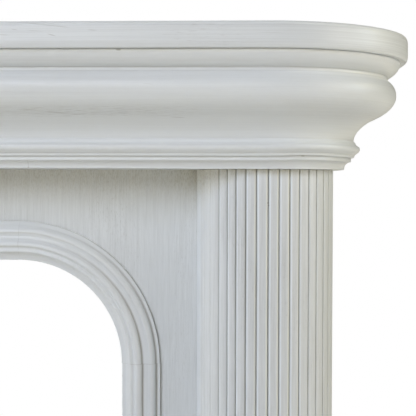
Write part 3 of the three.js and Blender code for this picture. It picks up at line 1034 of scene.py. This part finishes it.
# Name, degrees round from the front and up, width and height in metres, watts, colour
LIGHTS = (
    ("key_light", -26, 22, (1.6, 1.6), 34.7, (0.729, 0.809, 1.0)),
    ("key_light_left", -38, 22, (1.6, 1.6), 13.9, (0.729, 0.809, 1.0)),
    ("key_light_right", -12, 22, (1.6, 1.6), 13.9, (0.729, 0.809, 1.0)),
    ("low_front_light", -12, 12, (1.6, 1.6), 14.0, (1.0, 0.904, 0.576)),
    ("far_left_light", -92, -8, (1.4, 1.4), 31.5, (1.0, 0.973, 0.914)),
    ("right_light_low", 62, 4, (0.9, 0.9), 9.7, (1.0, 0.899, 0.754)),
    ("right_light_high", 62, 20, (0.9, 0.9), 9.7, (1.0, 0.899, 0.754)),
    ("far_right_light", 97, 20, (0.9, 0.9), 13.1, (1.0, 0.913, 0.502)),
    ("right_strip_light", 86, 12, (0.45, 1.6), 24.1, (0.792, 0.892, 1.0)),
    ("back_light", 180, 35, (2.0, 2.0), 59, (1.0, 0.961, 0.848)),
)


def stage_floor():
    mesh = bpy.data.meshes.new("stage_floor")
    shape = bmesh.new()
    bmesh.ops.create_circle(shape, cap_ends=True, radius=FLOOR_RADIUS, segments=FLOOR_SIDES)
    shape.to_mesh(mesh)
    shape.free()
    mesh.materials.append(floor_material())
    new_object("stage_floor", mesh)


def soft_light(name, place, target, size, power, colour):
    light = bpy.data.lights.new(name, "AREA")
    light.shape = "RECTANGLE"
    light.size, light.size_y = size
    light.energy = power
    light.color = colour
    lamp = new_object(name, light)
    lamp.location = place
    lamp.rotation_euler = (Vector(target) - Vector(place)).to_track_quat("-Z", "Y").to_euler()


def studio_world():
    """Warm light from below, with a white background behind the object."""
    world = bpy.data.worlds.new("studio")
    world.use_nodes = True
    tree = world.node_tree
    tree.nodes.clear()
    add, join = tree.nodes.new, tree.links.new
    output = add("ShaderNodeOutputWorld")
    soft = add("ShaderNodeBackground")
    soft.inputs["Color"].default_value = (*BOUNCE_COLOUR, 1)
    direction = add("ShaderNodeTexCoord")
    axes = add("ShaderNodeSeparateXYZ")
    join(direction.outputs["Generated"], axes.inputs[0])
    low = add("ShaderNodeMapRange")
    for key, value in {"From Min": 0, "From Max": -1, "To Min": 0, "To Max": BOUNCE}.items():
        low.inputs[key].default_value = value
    join(axes.outputs["Z"], low.inputs["Value"])
    join(low.outputs["Result"], soft.inputs["Strength"])
    white = add("ShaderNodeBackground")
    white.inputs["Color"].default_value = (1, 1, 1, 1)
    path = add("ShaderNodeLightPath")
    either = add("ShaderNodeMixShader")
    join(path.outputs["Is Camera Ray"], either.inputs[0])
    join(soft.outputs[0], either.inputs[1])
    join(white.outputs[0], either.inputs[2])
    join(either.outputs[0], output.inputs["Surface"])
    bpy.context.scene.world = world


def lighting():
    for name, azimuth, elevation, size, power, colour in LIGHTS:
        turn, rise = math.radians(azimuth), math.radians(elevation)
        way = (math.sin(turn) * math.cos(rise), -math.cos(turn) * math.cos(rise), math.sin(rise))
        place = [a + LIGHT_DISTANCE * w for a, w in zip(LIGHT_AIM, way)]
        soft_light(name, place, LIGHT_AIM, size, power, colour)
    studio_world()
    bpy.context.scene.view_settings.view_transform = "Standard"


def photo_camera():
    """The photograph's view of the upper right corner."""
    camera = bpy.data.cameras.new("camera")
    camera.sensor_width = 36
    frame_width, focal = 416, 1000
    camera.lens = camera.sensor_width * focal / frame_width
    camera.clip_start = 0.05
    seat = new_object("camera", camera)
    aside, before, below = 23.5 * MM, 973 * MM, 156.7 * MM
    place = Vector((COLUMN_X - aside, FRONT_Y - before, TOP_Z - below))
    yaw, down, roll = (math.radians(a) for a in (2.054, 1.4915, 0.118))
    turn = Matrix.Rotation(yaw, 4, "Z") @ Matrix.Rotation(math.pi / 2 - down, 4, "X")
    turn = turn @ Matrix.Rotation(roll, 4, "Z")
    seat.matrix_world = Matrix.Translation(place) @ turn
    bpy.context.scene.camera = seat


# The whole

def build():
    # The materials paint shade in the hollows, light or shade on the ridges, a highlight towards the
    # shelf's corners and a brown shadow under the cornice, as their arguments set.
    board = whitewash("whitewash_shelf", lines=0.85, marks=0.4, hollow_shade=0.5, painted_ridge_shading=0.8, ridge_shading_colour=WHITE_PAINTED_LIGHT, white=0.95,
                      corner_highlight=0.115, dark=SHELF_MARKS, sheen=0.08)
    run = whitewash("whitewash_run", lines=0.2, marks=0.1, hollow_shade=0.3, painted_ridge_shading=0.9, ridge_shading_colour=WHITE_PAINTED_LIGHT,
                    dark=CORNICE_MARKS, rough=True, sheen=0.10)
    upright = whitewash("whitewash_upright", lines=0.75, stretch=6, marks=0.5, hollow_shade=0.75, painted_ridge_shading=1.0,
                        ridge_shading_colour=WHITE_PAINTED_LIGHT, cornice_shadow=0.42, white=0.97)
    reeded = whitewash("whitewash_reeds", lines=0.6, stretch=4, marks=0.4, hollow_shade=0.62, painted_ridge_shading=0.95,
                       cornice_shadow=0.45, white=1.03, painted_cool_light=0.6, dark=REED_MARKS)
    moulding = whitewash("whitewash_moulding", lines=0.25, marks=0.1, hollow_shade=0.8, painted_ridge_shading=0.3, ridge_shading_colour=BROWN_PAINTED_SHADE,
                         dark=JOINT_MARKS)
    plain = whitewash("whitewash_plain", lines=0.4, marks=0.2, hollow_shade=0.3)
    cornice, reeds, arch = cornice_section(), column_section(), arch_section()
    shelf(board)
    cornice_front(cornice, run)
    arch_head(arch, moulding)
    for side in (1, -1):
        cornice_corner(side, cornice, run)
        cornice_side(side, cornice, run)
        column(side, reeds, reeded)
        arch_corner(side, arch, moulding)
        arch_jamb(side, arch, moulding)
        plinth(side, plain)
        label = side_name(side)
        flat_board(f"leg_side_{label}", f"side_panel_{label}", 2, upright, SEEDS["leg_side"] + side)
        flat_board(f"opening_return_{label}", f"inner_return_{label}", 2, upright,
                   SEEDS["opening_return"] + side)
    front_board(upright)
    flat_board("opening_soffit", "soffit_board", 0, plain, SEEDS["soffit"])


photo_camera()
lighting()
stage_floor()
build()
